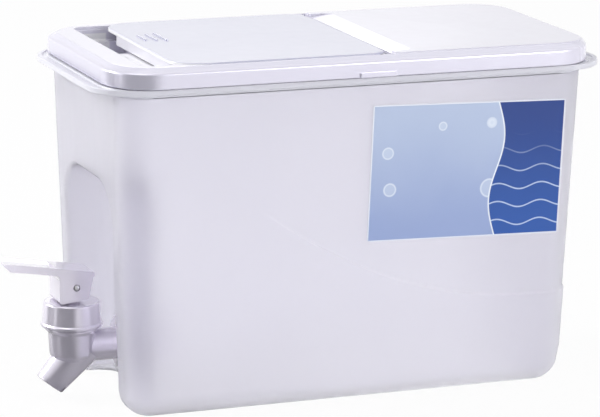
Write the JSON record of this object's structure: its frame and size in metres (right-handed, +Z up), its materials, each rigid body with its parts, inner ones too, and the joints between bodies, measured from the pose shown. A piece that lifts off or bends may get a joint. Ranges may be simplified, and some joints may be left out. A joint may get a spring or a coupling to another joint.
{
  "type": "fridge water jug with tap",
  "caption": "Slim frosted plastic tank with a flip hatch in its lift-off lid and a lever tap in a niche at one end, for drinks kept cold on a fridge shelf.",
  "frame": {"origin": "on the surface that the jug stands on, under the middle of the lid", "axes": "+Z up, -X towards the tap, -Y towards the long side that carries the label"},
  "size_m": [0.3117, 0.1378, 0.1825],
  "materials": {
    "tank": "frosted translucent",
    "lid": "satin white with a faint lilac cast",
    "hatch": "satin bluish white",
    "tap": "glossy white",
    "seal": "soft translucent white",
    "gasket": "matt pale grey",
    "steel": "bright drawn wire",
    "label": "printed film"
  },
  "bodies": {
    "jug": {"tank": "tank", "label": "label", "tap_body": "tap", "outer_washer": "seal", "inner_washer": "seal", "lock_nut": "tap", "bonnet": "tap", "bonnet_gasket": "gasket"},
    "stem": {"valve_stem": "tap", "valve_cup": "gasket", "valve_spring": "steel"},
    "lever": {"tap_lever": "tap", "lever_pin": "steel"},
    "lid": {"lid_frame": "lid", "lid_gasket": "seal", "hinge_pin_near": "hatch", "hinge_pin_far": "hatch"},
    "hatch": {"flip_hatch": "hatch", "hatch_seal": "seal"}
  },
  "joints": [
    {"name": "stem_lift", "type": "slide", "parent": "jug", "child": "stem", "axis": [0, 0, 1], "range_m": [0, 0.00327], "stiffness_N_per_m": 100, "springref_m": -0.006, "deforming": ["valve_spring"]},
    {"name": "lever_press", "type": "hinge", "parent": "stem", "child": "lever", "pos_m": [-0.133, 0, 0.0591], "axis": [0, -1, 0], "range_deg": [0, 25]},
    {"name": "lid_lift", "type": "slide", "parent": "jug", "child": "lid", "axis": [0, 0, 1], "range_m": [0, 0.08]},
    {"name": "hatch_hinge", "type": "hinge", "parent": "lid", "child": "hatch", "pos_m": [0.0138, 0, 0.1786], "axis": [0, 1, 0], "range_deg": [0, 100]}
  ],
  "couplings": [
    {"joint": "lever_press", "follows": "stem_lift", "rad_per_m": 133.4}
  ]
}
